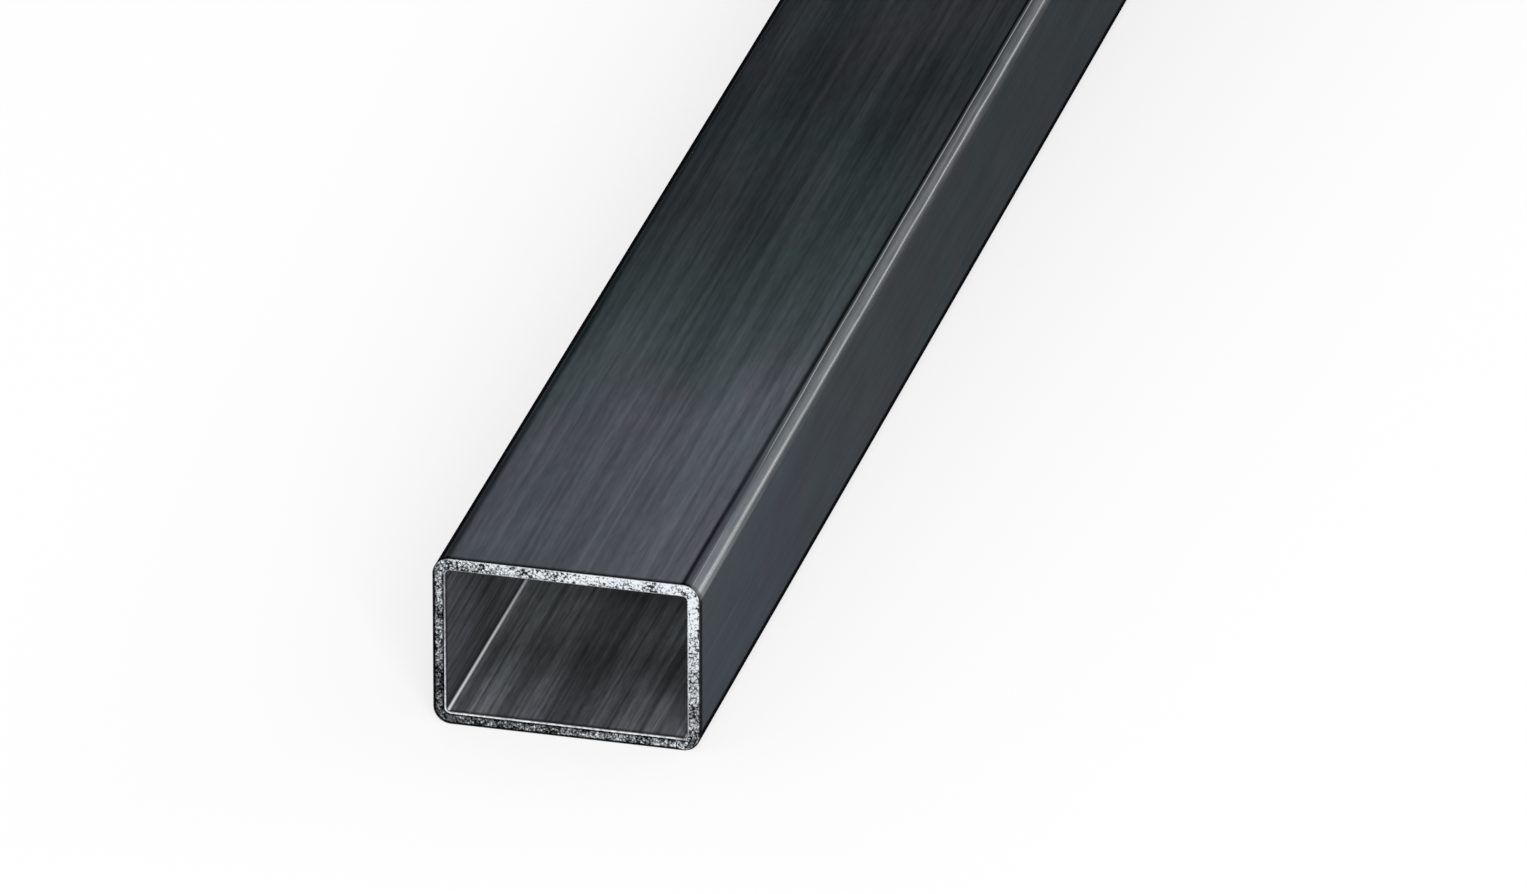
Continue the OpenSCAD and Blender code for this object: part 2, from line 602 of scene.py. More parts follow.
def skin_clouds(tree, at):
    """The oxide's colour, which drifts with the distance from the cut; it is brighter near the cut and
    towards the right as painted light.
    """
    drift = streaks(tree, 35 * MM, 100 * MM, detail=1.0)
    drift = math_node(tree, "MULTIPLY_ADD", drift, CLOUD_DRIFT, CLOUD_START)
    drift = math_node(tree, "MULTIPLY_ADD", at.x, CLOUD_LIGHT_LEAN, drift)
    cloud = math_node(tree, "MULTIPLY_ADD", at.from_cut, 1 / HALF_LENGTH, drift)
    clouds = mixed(tree, at.turn, ramp(tree, cloud, TOP_CLOUDS), ramp(tree, cloud, SIDE_CLOUDS))
    tints = ramp(tree, streaks(tree, 22 * MM, 50 * MM, detail=0.0, seed=TINT_SEED), TINTS)
    feeds = {0: clouds, 1: tints}
    return node(tree, "ShaderNodeVectorMath", feeds, operation="MULTIPLY").outputs[0]


# %% Streaks of the skin
BROAD_STREAKS = [(6 * MM, 0.12, 0.08, 3.0, 2.0)]
FINE_STREAKS = [
    (1.4 * MM, 0.15, 0.155, 7.0, 1.0),
    (1.1 * MM, 0.05, 0.09, 29.0, 1.0),
    (0.7 * MM, 0.006, 0.065, 21.0, 0.0),
]
WIDE_BANDS = [(9 * MM, 0.03, 0.06, 41.0, 1.0)]
CALM_SIDES = 0.6
# Painted light: near the cut the skin is lighter towards the right
LIGHT_LEAN_ACROSS = 0.26
LEAN_FADES = (0.12, 0.26)


def skin_tone(tree, at, fine):
    """The streaks, calmer on the sides, and a painted lean of light across the tube, as one factor."""
    streaky = product(tree, drawn(tree, BROAD_STREAKS), fine)
    calm = math_node(tree, "MULTIPLY", at.turn, CALM_SIDES)
    tone = remap(tree, calm, (0.0, 1.0), (streaky, 1.0))
    lean = remap(tree, at.from_cut, LEAN_FADES, (LIGHT_LEAN_ACROSS / WIDTH, 0.0))
    return product(tree, tone, drawn(tree, WIDE_BANDS), change(tree, at.x, lean))


# %% Shade along the skin's edges
# Beside the cut, each pair holds a value for the flat faces and one for the sides
SIDE_BEGINS = (0.15, 0.6)
CUT_SHADE_START = (0.5 * MM, 1.0 * MM)
CUT_SHADE_END = (1.8 * MM, 2.4 * MM)
CUT_SHADE_TONE = (0.10, 0.02)

# The painted shade band's start, middle and end: distances from the cut, and its places there.
# A place is a share of the bend's turn, and below 0 it runs on over the flat face.
SHADE_BAND = [
    ((0.10, 0.21), (-0.14, 0.02)),
    ((0.03, 0.10), (0.012, 0.105)),
    ((0.00, 0.06), (0.14, 0.185)),
]
SHADE_BAND_FILL = 1.2
SHADE_BAND_STRENGTH = -0.78
# Where the painted shade band is fainter, and the paler strip of painted light beside it
PALER_AT, PALER_BY = (0.075, 0.055), 0.11
STRIP_AT, STRIP_ALONG, STRIP_STRENGTH = (-0.2, 0.3), (0.125, 0.09), 0.22
LEFT_SHADE = (0.11, 0.22)
LEFT_FADES, LEFT_STRENGTHS = (0.08, 0.20), (-0.60, -0.15)


def cut_shade(tree, at):
    """The dark first two millimetres beside the cut, as a factor."""
    pairs = (CUT_SHADE_START, CUT_SHADE_END, CUT_SHADE_TONE)
    start, end, tone = [remap(tree, at.turn, SIDE_BEGINS, pair) for pair in pairs]
    return remap(tree, at.from_cut, (start, end), (tone, 1.0))


def upper_shade(tree, at):
    """Painted shade band and a paler strip of painted light on the right upper edge, and painted shade
    on the left one, as a factor.
    """
    places = [remap(tree, at.from_cut, reach, ends) for reach, ends in SHADE_BAND]
    shade_band = math_node(tree, "MULTIPLY", ridge(tree, at.reach, *places), SHADE_BAND_FILL)
    shade_band = math_node(tree, "MINIMUM", shade_band, 1.0)
    paler = band(tree, at.from_cut, *PALER_AT)
    strength = math_node(tree, "MULTIPLY_ADD", paler, PALER_BY, SHADE_BAND_STRENGTH)
    strip = band(tree, at.reach, *STRIP_AT)
    strip = product(tree, strip, band(tree, at.from_cut, *STRIP_ALONG), STRIP_STRENGTH)
    on_right = product(tree, math_node(tree, "MULTIPLY_ADD", shade_band, strength, strip), at.right)
    left_strength = remap(tree, at.from_cut, LEFT_FADES, LEFT_STRENGTHS)
    on_left = product(tree, band(tree, at.reach, *LEFT_SHADE), at.left, left_strength)
    return math_node(tree, "ADD", math_node(tree, "ADD", on_right, on_left), 1.0)


# %% [markdown]
# ## The rubbed bends and their painted highlights
# The rolls press hardest on the bends, so the scale is worn there to the metal, in
# strips that follow the bend's turn. The strips are also painted highlights, and
# the right bends get most of them. Two bright lines of painted highlight stand out
# of them, a fine one high up and a broad one lower down, and hairlines break them
# up. Near the cut the lines are quieter and lie a little differently, so many of
# the values below have one size at the cut and another further in.

# %% Worn bends, partly painted highlight
# Each stop is a share of the bend's turn and a share of bare metal colour, partly painted highlight
WEAR_AND_SHEEN = [
    (0.10, 0.00),
    (0.20, 0.18),
    (0.30, 0.22),
    (0.38, 0.29),
    (0.45, 0.39),
    (0.50, 0.49),
    (0.60, 0.45),
    (0.72, 0.52),
    (0.80, 0.48),
    (0.88, 0.25),
    (0.95, 0.10),
    (1.00, 0.00),
]
WEAR_SHEEN_STRENGTH = (0.10, 1.35, 1.0)
WORN_SHEEN_NEAR = (0.219, 0.233, 0.245, 1)
WORN_SHEEN_FAR = (0.229, 0.232, 0.232, 1)
WORN_SHEEN_CHANGES = (0.01, 0.07)
HAIRLINES = [(0.55 * MM, 0.12, 0.30, 35.0, 1.0)]
PATCHES = [(1.6 * MM, 0.014, 0.24, 43.0, 1.0)]
LEFT_RUBBED_SHEEN = 0.12
# A dimmer strip of the painted highlight on the right bends, some way from the cut
DULL_STRIP, DULL_BY = (0.35, 0.19), -0.40
SPREAD_REACH = 0.09
SPREAD_NEAR, SPREAD_FAR = (0.13, 0.15), (0.27, 0.33)
SPREAD_FADES, SPREAD_BY = (0.06, 0.11), -0.29


def scratches(tree, at):
    """Hairlines that break up the wear and the painted highlights; the left bends get little of either,
    since the painted light falls from the right.
    """
    rubbed_sheen = remap(tree, at.right, (0.0, 1.0), (LEFT_RUBBED_SHEEN, 1.0))
    return product(tree, drawn(tree, HAIRLINES), rubbed_sheen)


def worn_bends_and_sheen(tree, at, colour, fine, scratched):
    """The colour with the worn strips of the bends in it, partly wear and partly painted highlight, and
    the painted shade that borders them.
    """
    wear_sheen = ramp(tree, at.round_bend, [(place, (share,) * 3) for place, share in WEAR_AND_SHEEN])
    strength = near_to_far(tree, at.from_cut, *WEAR_SHEEN_STRENGTH)
    dull = product(tree, band(tree, at.turn, *DULL_STRIP), at.quiet, at.right)
    dull = change(tree, dull, DULL_BY)
    wear_sheen = product(tree, wear_sheen, fine, scratched, drawn(tree, PATCHES), strength, dull)
    worn_sheen = mixed(tree, remap(tree, at.from_cut, WORN_SHEEN_CHANGES, (0.0, 1.0)), WORN_SHEEN_NEAR, WORN_SHEEN_FAR)
    colour = mixed(tree, wear_sheen, colour, worn_sheen)
    ends = zip(SPREAD_NEAR, SPREAD_FAR)
    places = [near_to_far(tree, at.from_cut, SPREAD_REACH, near, far) for near, far in ends]
    spread = product(tree, band(tree, at.turn, *places), at.right)
    fading = remap(tree, at.from_cut, SPREAD_FADES, (SPREAD_BY, 0.0))
    return scaled(tree, colour, change(tree, spread, fading))


# %% Bright lines of the bends, painted highlights
PAINTED_HIGHLIGHT = (0.614, 0.642, 0.658, 1)
FINE_LINE = (0.222, 0.026)
FINE_STRENGTH, FINE_QUIET = (0.12, 0.26, 0.62), -0.9
BROAD_REACH = 0.2
BROAD_NEAR, BROAD_FAR = (0.495, 0.66, 0.785), (0.57, 0.63, 0.69)
BROAD_STRENGTH = (0.10, 0.53, 0.42)
LOW_LINE = (0.82, 0.20)
LOW_STRENGTH = (0.06, 0.33, 0.0)


def bright_lines(tree, at):
    """The share of painted highlight in the fine line, the broad one and the low one near the cut."""
    fine = product(
        tree,
        band(tree, at.round_bend, *FINE_LINE),
        near_to_far(tree, at.from_cut, *FINE_STRENGTH),
        change(tree, at.quiet, FINE_QUIET),
    )
    ends = zip(BROAD_NEAR, BROAD_FAR)
    places = [near_to_far(tree, at.from_cut, BROAD_REACH, near, far) for near, far in ends]
    broad = ridge(tree, at.wandering, *places)
    broad = product(tree, broad, near_to_far(tree, at.from_cut, *BROAD_STRENGTH))
    low = band(tree, at.turn, *LOW_LINE)
    low = product(tree, low, near_to_far(tree, at.from_cut, *LOW_STRENGTH))
    return math_node(tree, "ADD", math_node(tree, "ADD", fine, broad), low)


# %% Painted shade and gloss of the skin
# Painted shade: the underside and the lower left bend are matte and near black
SHADE_BLACK = (0.005, 0.005, 0.006, 1)
SHADE_TOP = (4.4 * MM, 5.2 * MM)
LEFT_DARK_BAND, LEFT_DARK_STRENGTH = (0.53, 0.40), 2.2
GLOSS = (0.36, 0.46)
BEND_GLOSS = 0.5
GROOVE_DEPTH = 0.02 * MM


def unshaded_share(tree, at):
    """0 where painted shade turns the underside and the left bends matte and near black, 1 elsewhere."""
    left_dark = product(tree, band(tree, at.turn, *LEFT_DARK_BAND), at.left, LEFT_DARK_STRENGTH)
    above = remap(tree, at.z, SHADE_TOP, (0.0, 1.0))
    return math_node(tree, "SUBTRACT", above, left_dark, clamp=True)


def skin_gloss(tree, at, shader):
    """Streaky gloss, smoother on the bends, and the shallow grooves of the rolls."""
    rough = remap(tree, streaks(tree, 1.5 * MM, 0.15, seed=11.0), (0.3, 0.7), GLOSS)
    smoother = remap(tree, at.on_bend, (0.0, 0.35), (1.0, BEND_GLOSS))
    tree.links.new(product(tree, rough, smoother), shader.inputs["Roughness"])
    grooves = streaks(tree, 0.35 * MM, 0.05, seed=5.0)
    feeds = {"Height": grooves, "Distance": GROOVE_DEPTH, "Strength": 0.5}
    tree.links.new(node(tree, "ShaderNodeBump", feeds).outputs[0], shader.inputs["Normal"])


# %% The skin, layer on layer
def make_skin():
    tree, shader = start_material(skin, 1.0, EDGE_TINT)
    at = skin_place(tree)
    fine = drawn(tree, FINE_STREAKS)
    scratched = scratches(tree, at)
    beside_cut = cut_shade(tree, at)
    tone = product(tree, skin_tone(tree, at, fine), beside_cut, upper_shade(tree, at))
    colour = scaled(tree, skin_clouds(tree, at), tone)
    colour = worn_bends_and_sheen(tree, at, colour, fine, scratched)
    lines = product(tree, bright_lines(tree, at), scratched, beside_cut)
    # The bright lines are painted highlights
    colour = mixed(tree, lines, colour, PAINTED_HIGHLIGHT)
    unshaded = unshaded_share(tree, at)
    # Painted shade turns the underside and the left bends matte and near black
    tree.links.new(mixed(tree, unshaded, SHADE_BLACK, colour), shader.inputs["Base Color"])
    tree.links.new(unshaded, shader.inputs["Metallic"])
    shader.inputs["Specular IOR Level"].default_value = 0.0
    skin_gloss(tree, at, shader)


make_skin()
print("mill skin:", len(skin.node_tree.nodes), "nodes")

# %% [markdown]
# ## The inside skin
# No roll ever touches the inside, so its scale is duller and its streaks are
# coarser. It has to be a little like chalk, because only light that it scatters
# comes back out of the mouth: a mirror would send it further in. Its tone follows
# the distance from the cut, the place across the floor and the height on the side
# walls, as painted light and shade of the light that falls in at the mouth. There
# is painted shade at the walls' feet, beside the inner corners and in the first
# millimetres. Along the four tight inner bends runs a thin painted highlight of
# pale metal.

# %% Tones of the bore, painted light and shade
BORE_NEAR = (0.0825, 0.0878, 0.0985, 1)
BORE_DEEP = (0.0825, 0.0905, 0.0930, 1)
BLUE_FADES = (8 * MM, 30 * MM)
DEEP_REACH = 0.1
DEEP_TONES = [
    (0.00, 0.95),
    (0.08, 0.94),
    (0.16, 0.90),
    (0.34, 0.58),
    (0.42, 0.68),
    (0.58, 1.15),
    (1.00, 1.20),
]
ACROSS_TONES = [
    (0.055, 1.10),
    (0.09, 1.62),
    (0.33, 1.60),
    (0.40, 1.18),
    (0.47, 0.96),
    (0.53, 0.92),
    (0.60, 1.20),
    (0.68, 1.42),
    (0.85, 1.72),
    (1.00, 1.85),
]
TOP_TONE = 4.0
BORE_STREAKS = [
    (9 * MM, 0.15, 0.14, 2.0, 1.0),
    (2.2 * MM, 0.14, 0.34, 9.0, 1.0),
    (0.9 * MM, 0.12, 0.36, 19.0, 1.0),
    (0.7 * MM, 0.006, 0.20, 31.0, 1.0),
]
RIGHT_FLOOR, RIGHT_BEYOND, RIGHT_PALER = (-4 * MM, 12 * MM), (28 * MM, 44 * MM), 0.62


def tone_along(tree, value, stops):
    """A factor that follows a value through a list of places and tones."""
    greys = [(place, (tone / TOP_TONE,) * 3) for place, tone in stops]
    return math_node(tree, "MULTIPLY", ramp(tree, value, greys), TOP_TONE)


def bore_tone(tree, x, from_cut):
    """The tone along and across the bore, which is painted light and shade, with its streaks."""
    deep = tone_along(tree, math_node(tree, "MULTIPLY", from_cut, 1 / DEEP_REACH), DEEP_TONES)
    across = tone_along(tree, math_node(tree, "MULTIPLY_ADD", x, 1 / WIDTH, 0.5), ACROSS_TONES)
    paler = remap(tree, x, RIGHT_FLOOR, (0.0, RIGHT_PALER))
    paler = product(tree, paler, remap(tree, from_cut, RIGHT_BEYOND, (0.0, 1.0)))
    return product(tree, deep, across, change(tree, paler, 1.0), drawn(tree, BORE_STREAKS))


# %% Painted shade and light in the bore
CORNER_SHADE, CORNER_SHADE_BY = (0.93, 0.12), -0.6
MOUTH_SHADE, MOUTH_TONE = (0.5 * MM, 1.7 * MM), 0.12
WALL_BEGINS = (0.7, 1.0)
WALL_FOOT, FOOT_TONE = (4.1 * MM, 5.3 * MM), 0.13
WALL_IN, IN_TONES = (3 * MM, 36 * MM), (1.10, 1.80)
WALL_UP, UP_TONES = (18 * MM, 28 * MM), (1.0, 1.25)


def bore_shade(tree, turn, from_cut, z):
    """Painted shade beside the inner corners, at the feet of the walls and round the mouth, and painted
    light higher up and deeper in on the side walls, as a factor.
    """
    line = change(tree, band(tree, turn, *CORNER_SHADE), CORNER_SHADE_BY)
    mouth = remap(tree, from_cut, MOUTH_SHADE, (MOUTH_TONE, 1.0))
    foot = remap(tree, z, WALL_FOOT, (FOOT_TONE, 1.0))
    deeper = remap(tree, from_cut, WALL_IN, IN_TONES)
    wall = product(tree, foot, deeper, remap(tree, z, WALL_UP, UP_TONES))
    on_wall = remap(tree, turn, WALL_BEGINS, (0.0, 1.0))
    return product(tree, line, remap(tree, on_wall, (0.0, 1.0), (1.0, wall)), mouth)


# %% The bore put together
BORE_METAL, BORE_ROUGHNESS = 0.15, 0.55
# A painted highlight of pale metal along the four tight inner bends
CORNER_HIGHLIGHT_LINE = (0.46, 0.32)
CORNER_HIGHLIGHT = (0.98, 0.99, 1.0, 1)
CORNER_HIGHLIGHT_SHARE = (0.03, 1.0, 0.85)


def make_bore():
    tree, shader = start_material(bore, BORE_METAL, EDGE_TINT)
    x, along, z = object_xyz(tree)
    from_cut = distance_from_cut(tree, along)
    turn = turn_of_bend(tree)
    grey = mixed(tree, remap(tree, from_cut, BLUE_FADES, (0.0, 1.0)), BORE_NEAR, BORE_DEEP)
    tone = product(tree, bore_tone(tree, x, from_cut), bore_shade(tree, turn, from_cut, z))
    highlight_line = band(tree, turn, *CORNER_HIGHLIGHT_LINE)
    highlight_line = product(tree, highlight_line, near_to_far(tree, from_cut, *CORNER_HIGHLIGHT_SHARE))
    colour = mixed(tree, highlight_line, scaled(tree, grey, tone), CORNER_HIGHLIGHT)
    tree.links.new(colour, shader.inputs["Base Color"])
    shader.inputs["Roughness"].default_value = BORE_ROUGHNESS


make_bore()
print("bore skin:", len(bore.node_tree.nodes), "nodes")

# %% [markdown]
# ## The sawn steel
# Light and shade are painted into the cut. Its tone is a ramp along the diagonal
# of the section, painted light that is bright at the upper right corner and dark at
# the opposite one, and the side walls are a little darker as painted shade. Over it
# lie the pits, which are darker the deeper they are, and a fine painted sparkle of
# glints on single grains and chips. A thin rim of painted shade runs round the
# outside. It is widest on the lower and the left wall. On the upper and the right
# wall a dark line of painted shade runs along the inner edge.

# %% Painted light across the cut
LIT_LEVEL, LIT_BY_X, LIT_BY_Z = -1.36, 18.0, 33.0
UPPER_RIGHT_AT = (0.80, 0.90)
UPRIGHT_SHADE = 0.76


def kept_value(tree, name):
    """A value that the sweep kept on the mesh."""
    return node(tree, "ShaderNodeAttribute", attribute_name=name).outputs["Fac"]


def lit_corner_tone(tree, x, z):
    """Painted light: a ramp that brightens towards the upper right corner, with painted shade on the
    side walls.
    """
    power = math_node(tree, "MULTIPLY_ADD", x, LIT_BY_X, LIT_LEVEL)
    tone = math_node(tree, "EXPONENT", math_node(tree, "MULTIPLY_ADD", z, LIT_BY_Z, power))
    return product(tree, tone, remap(tree, turn_of_bend(tree), (0.0, 1.0), (1.0, UPRIGHT_SHADE)))


def lit_corner_share(tree, x, z):
    """0 at the lower left corner, 1 at the upper right one."""
    across = math_node(tree, "MULTIPLY_ADD", x, 0.5 / WIDTH, 0.25)
    return math_node(tree, "MULTIPLY_ADD", z, 0.5 / HEIGHT, across)


def upper_right_walls(tree, x, z):
    """1 on the upper and the right wall, and 0 on the other two."""
    up = math_node(tree, "MULTIPLY_ADD", z, 2 / HEIGHT, -1.0)
    corner = math_node(tree, "MAXIMUM", math_node(tree, "MULTIPLY", x, 2 / WIDTH), up)
    return remap(tree, corner, UPPER_RIGHT_AT, (0.0, 1.0))


# %% Pits, grains and chips
PATCH_SIZE, PATCH_SHIFTS = 3.0 * MM, (-0.16, 0.12)
PALER_PITS_AT, PALER_PITS_BY = (0.70, 1.0), -0.12
PIT_DEPTHS, PIT_TONES = (0.3, 0.72), (1.18, 0.03)

# Painted glints, each kind: its size, the noise's range, where it changes, and its lows and highs there
GLINTS = [
    (0.3 * MM, (0.35, 0.65), (0.40, 0.70), (0.22, 0.65), (2.15, 1.35)),
    (0.75 * MM, (0.38, 0.62), (0.45, 0.75), (0.42, 1.0), (1.55, 1.0)),
]


def pit_tone(tree, share):
    """Pits are darker the deeper they are, in patches, and paler towards the upper right along with the
    painted light.
    """
    patch = remap(tree, even_noise(tree, PATCH_SIZE), (0.35, 0.65), PATCH_SHIFTS)
    paler_pits = remap(tree, share, PALER_PITS_AT, (0.0, PALER_PITS_BY))
    pitted = math_node(tree, "ADD", kept_value(tree, "pit"), patch)
    return remap(tree, math_node(tree, "ADD", pitted, paler_pits), PIT_DEPTHS, PIT_TONES)


def painted_glints(tree, share):
    """Painted glints and dark specks on grains and chips, strongest at the lower left."""
    factors = []
    for size, noise_range, changes_at, lows, highs in GLINTS:
        ends = [remap(tree, share, changes_at, pair) for pair in (lows, highs)]
        factors.append(remap(tree, even_noise(tree, size), noise_range, ends))
    return product(tree, *factors)


# %% Painted shade at the rims of the cut
UPPER_BEND = (36.5 * MM, 39 * MM)
RIM_WIDE, RIM_TONE = 0.2 * MM, 0.03
RIM_LOW, RIM_RIGHT, RIM_UPPER = 0.56 * MM, 0.20 * MM, 0.04 * MM
INNER_SHADE_WIDE = 0.12 * MM
INNER_SHADE_UPPER, INNER_SHADE_RIGHT = 2.50 * MM, 2.77 * MM
INNER_DIP, DIP_TONE = (2.02 * MM, 2.30 * MM), 0.22
BORDER_OUTSIDE = (0.25 * MM, 0.7 * MM)
BORDER_INSIDE, INSIDE_SHARE = (2.1 * MM, 2.5 * MM), 0.8
BORDER_AT, BORDER_BY = (0.42, 0.56), (-0.45, 0.28)


def border_tone(tree, depth, share):
    """Both borders of the cut: painted shade at the lower left, painted highlight at the upper right."""
    outside = remap(tree, depth, BORDER_OUTSIDE, (1.0, 0.0), smooth=True)
    inside = remap(tree, depth, BORDER_INSIDE, (0.0, INSIDE_SHARE), smooth=True)
    border = math_node(tree, "MAXIMUM", outside, inside)
    return change(tree, border, remap(tree, share, BORDER_AT, BORDER_BY))


def past_edge(tree, depth, first, width):
    """0 up to a depth in the wall, then rising to 1 over a width."""
    past = math_node(tree, "DIVIDE", math_node(tree, "SUBTRACT", depth, first), width)
    return remap(tree, past, (0.0, 1.0), (0.0, 1.0))


def inner_shade(tree, depth, z):
    """0 on the metal and 1 on the dark line of painted shade along the inner edge of the upper and right
    walls, thinnest on the right wall.
    """
    first = remap(tree, z, UPPER_BEND, (INNER_SHADE_RIGHT, INNER_SHADE_UPPER))
    return past_edge(tree, depth, first, INNER_SHADE_WIDE)


def shaded_rims(tree, depth, upper_right, z):
    """Painted shade as one factor: a dark rim outside, and a dark line or a dip inside."""
    high = remap(tree, z, UPPER_BEND, (RIM_RIGHT, RIM_UPPER))
    first = remap(tree, upper_right, (0.0, 1.0), (RIM_LOW, high))
    outside = remap(tree, past_edge(tree, depth, first, RIM_WIDE), (0.0, 1.0), (RIM_TONE, 1.0))
    inner_shaded = remap(tree, inner_shade(tree, depth, z), (0.0, 1.0), (1.0, RIM_TONE))
    dip = remap(tree, depth, INNER_DIP, (1.0, DIP_TONE))
    return product(tree, outside, remap(tree, upper_right, (0.0, 1.0), (dip, inner_shaded)))


# %% The sawn steel put together
STEEL_TINT = (0.945, 1.0, 1.05)
BRIGHTEST = 0.95
SAWN_ROUGHNESS = 0.36


def make_sawn():
    tree, shader = start_material(sawn, 1.0, 1.0)
    x, y, z = object_xyz(tree)
    depth = kept_value(tree, "depth")
    share = lit_corner_share(tree, x, z)
    # Painted light and shade across the cut, then pits, painted glints and the painted shade of the rims
    level = product(tree, lit_corner_tone(tree, x, z), border_tone(tree, depth, share))
    level = math_node(tree, "MINIMUM", level, BRIGHTEST)
    rims = shaded_rims(tree, depth, upper_right_walls(tree, x, z), z)
    tone = product(tree, level, pit_tone(tree, share), painted_glints(tree, share), rims)
    colour = scaled(tree, STEEL_TINT, math_node(tree, "MINIMUM", tone, BRIGHTEST))
    tree.links.new(colour, shader.inputs["Base Color"])
    shader.inputs["Roughness"].default_value = SAWN_ROUGHNESS


make_sawn()
print("sawn steel:", len(sawn.node_tree.nodes), "nodes")

# %% [markdown]
# ## The inner edge
# The cut's small inner bevel carries painted light. Low and on the left it is
# bright metal, a painted highlight that is brightest low down. On the upper wall it
# is painted dark, as shade. Up the right wall it is a rough, pale surface that isn't
# a mirror at all, painted lighter higher up, with a dark line of painted shade
# along its inner edge.

# %% Painted light on the inner bevel
BEVEL_HIGHLIGHT, RIGHT_BEVEL_PALE = (0.78, 0.80, 0.83), (0.63, 0.66, 0.69)
BEVEL_DEPTH, BEVEL_EDGE_TONE = (2.76 * MM, 2.94 * MM), 0.08
BEVEL_UP, BEVEL_UP_TONE = (3 * MM, 30 * MM), 0.40
NICKS = [(0.9 * MM, 0.9 * MM, 0.4, 13.0, 2.0)]
TEARS = [(0.35 * MM, 0.35 * MM, 0.55, 17.0, 2.0)]
RIGHT_BEVEL_UP, RIGHT_BEVEL_FOOT_TONE, INNER_SHADE_TONE = (4 * MM, 34 * MM), 0.42, 0.02
BEVEL_ROUGHNESS, RIGHT_BEVEL_ROUGHNESS = 0.22, 0.6


def make_bevel_finish():
    tree, shader = start_material(bevel_finish, 1.0, 1.0)
    x, y, z = object_xyz(tree)
    depth = kept_value(tree, "depth")
    upper_right = upper_right_walls(tree, x, z)
    lower_left = remap(tree, upper_right, (0.0, 1.0), (1.0, 0.0))
    low_down = remap(tree, z, BEVEL_UP, (1.0, BEVEL_UP_TONE))
    bright = remap(tree, depth, BEVEL_DEPTH, (1.0, BEVEL_EDGE_TONE))
    # Painted highlight on the lower and left bevel, brightest low down, and painted shade on the upper
    # one
    tone = product(tree, drawn(tree, NICKS), lower_left, low_down, bright)
    lower_left_colour = scaled(tree, BEVEL_HIGHLIGHT, tone)
    # The right bevel is pale and matte, painted lighter higher up, with painted shade along its inner
    # edge
    right_inner_shade = remap(tree, inner_shade(tree, depth, z), (0.0, 1.0), (1.0, INNER_SHADE_TONE))
    higher = remap(tree, z, RIGHT_BEVEL_UP, (RIGHT_BEVEL_FOOT_TONE, 1.0))
    right_colour = scaled(tree, RIGHT_BEVEL_PALE, product(tree, drawn(tree, TEARS), right_inner_shade, higher))
    on_right = product(tree, upper_right, remap(tree, z, UPPER_BEND, (1.0, 0.0)))
    tree.links.new(mixed(tree, on_right, lower_left_colour, right_colour), shader.inputs["Base Color"])
    tree.links.new(math_node(tree, "SUBTRACT", 1.0, on_right), shader.inputs["Metallic"])
    roughness = remap(tree, on_right, (0.0, 1.0), (BEVEL_ROUGHNESS, RIGHT_BEVEL_ROUGHNESS))
    tree.links.new(roughness, shader.inputs["Roughness"])


make_bevel_finish()
print("filed edge:", len(bevel_finish.node_tree.nodes), "nodes")

# %% [markdown]
# ## Floor and light
# The tube lies on a plain white floor under a pale sky. The floor and the sky are
# drawn in plain white to the camera and to the metal's reflections, while what
# they shed on the tube stays at a plain level: Light Path tells the two apart. The
# floor keeps a share of real paint, so the tube's soft shadow still falls on it.
#
# Bent metal is drawn by what it reflects. A tall soft lamp and a low one stand
# behind the tube, where only the rounded right edge looks, and give it a soft
# shine. One soft key lamp in front lights the cut and the inside. The metal doesn't
# mirror it, because a tube seen from behind would show it as a white patch.

# %% Floor and sky
WHITE_NEAR, WHITE_FAR = 0.70, 0.96
WHITE_REACH = 0.12
SKY_ON_PAINT = 0.5
FLOOR_HALF = 60
FLOOR_PAINT = (0.94, 0.94, 0.94, 1)
PLAIN_WHITE = (1, 1, 1, 1)


def seen_directly(tree):
    """1 for camera, glossy and transmitted rays, 0 for the light that scatters."""
    path = node(tree, "ShaderNodeLightPath").outputs
    seen = math_node(tree, "MAXIMUM", path["Is Camera Ray"], path["Is Glossy Ray"])
    return math_node(tree, "MAXIMUM", seen, path["Is Transmission Ray"])


def floor_white_share(tree):
    """How much of the floor is drawn plain white: little beside the tube, most further off."""
    x, y, z = object_xyz(tree)
    away = []
    for place, size in ((x, WIDTH), (y, LENGTH)):
        out = math_node(tree, "SUBTRACT", math_node(tree, "ABSOLUTE", place), size / 2)
        away.append(math_node(tree, "MAXIMUM", out, 0.0))
    distance = math_node(tree, "MAXIMUM", *away)
    return remap(tree, distance, (0.0, WHITE_REACH), (WHITE_NEAR, WHITE_FAR), smooth=True)


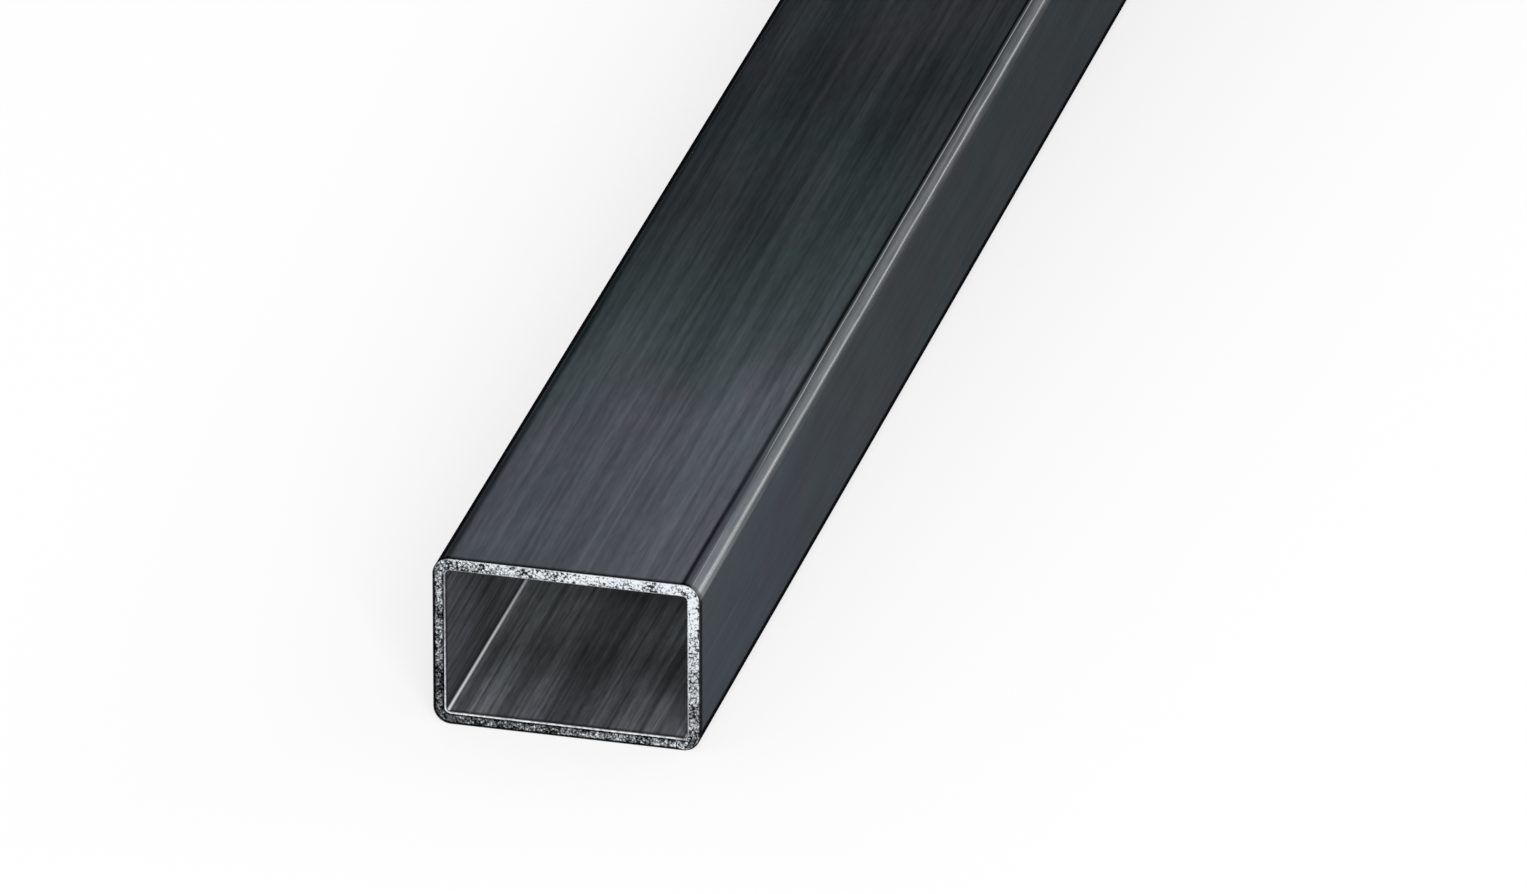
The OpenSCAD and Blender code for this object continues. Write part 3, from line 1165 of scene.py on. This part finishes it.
def make_floor():
    mesh = bpy.data.meshes.new("floor")
    half = FLOOR_HALF
    corners = [(-half, -half, 0), (half, -half, 0), (half, half, 0), (-half, half, 0)]
    mesh.from_pydata(corners, [], [(0, 1, 2, 3)])
    floor = bpy.data.objects.new("floor", mesh)
    bpy.context.scene.collection.objects.link(floor)
    paint = bpy.data.materials.new("floor_paint")
    paint.use_nodes = True
    tree = paint.node_tree
    tree.nodes.clear()
    matte = node(tree, "ShaderNodeBsdfDiffuse", {"Color": FLOOR_PAINT})
    white = node(tree, "ShaderNodeEmission", {"Color": PLAIN_WHITE, "Strength": 1.0})
    share = product(tree, seen_directly(tree), floor_white_share(tree))
    both = node(tree, "ShaderNodeMixShader", {0: share, 1: matte.outputs[0], 2: white.outputs[0]})
    node(tree, "ShaderNodeOutputMaterial", {"Surface": both.outputs[0]})
    mesh.materials.append(paint)


def make_sky():
    world = bpy.data.worlds.new("sky")
    bpy.context.scene.world = world
    world.use_nodes = True
    tree = world.node_tree
    sky = tree.nodes["Background"]
    sky.inputs["Color"].default_value = PLAIN_WHITE
    strength = remap(tree, seen_directly(tree), (0.0, 1.0), (SKY_ON_PAINT, 1.0))
    tree.links.new(strength, sky.inputs["Strength"])


make_floor()
make_sky()
print("floor and sky, with", f"{WHITE_REACH:.2f} m", "of soft shadow beside the tube")

# %% Lamps
AIM_BEYOND_CUT = 0.15

# Each lamp: its azimuth, elevation, distance, width, height and radiance
LAMPS = {
    "key_lamp": (17, 21, 3.0, 1.5, 1.5, 16.0),
    "tall_lamp": (157, 16, 2.0, 0.45, 0.8, 0.5),
    "low_lamp": (151, 1.5, 2.0, 0.5, 0.12, 1.5),
}


def facing(azimuth, elevation, distance):
    """A place round the near end that faces it; angles are in degrees."""
    target = Vector((0, -HALF_LENGTH + AIM_BEYOND_CUT, HEIGHT))
    towards = direction(radians(azimuth), radians(elevation))
    turn = towards.to_track_quat("Z", "Y").to_matrix().to_4x4()
    return Matrix.Translation(target + towards * distance) @ turn


def make_lamp(name, azimuth, elevation, distance, width, height, radiance):
    """A soft lamp that faces the near end, and that the camera doesn't see."""
    data = bpy.data.lights.new(name, "AREA")
    data.shape = "RECTANGLE"
    data.size, data.size_y = width, height
    data.energy = radiance * pi * width * height
    lamp = bpy.data.objects.new(name, data)
    lamp.matrix_world = facing(azimuth, elevation, distance)
    lamp.visible_camera = False
    bpy.context.scene.collection.objects.link(lamp)
    return lamp


lamps = {name: make_lamp(name, *values) for name, values in LAMPS.items()}
lamps["key_lamp"].visible_glossy = False
print("lamps:", *lamps)

# %% [markdown]
# ## Finish
# The dressed part must keep the size of the imported one; its sizes are read from it.

# %% Scene closed
scene = bpy.context.scene
scene.view_settings.view_transform = "Standard"
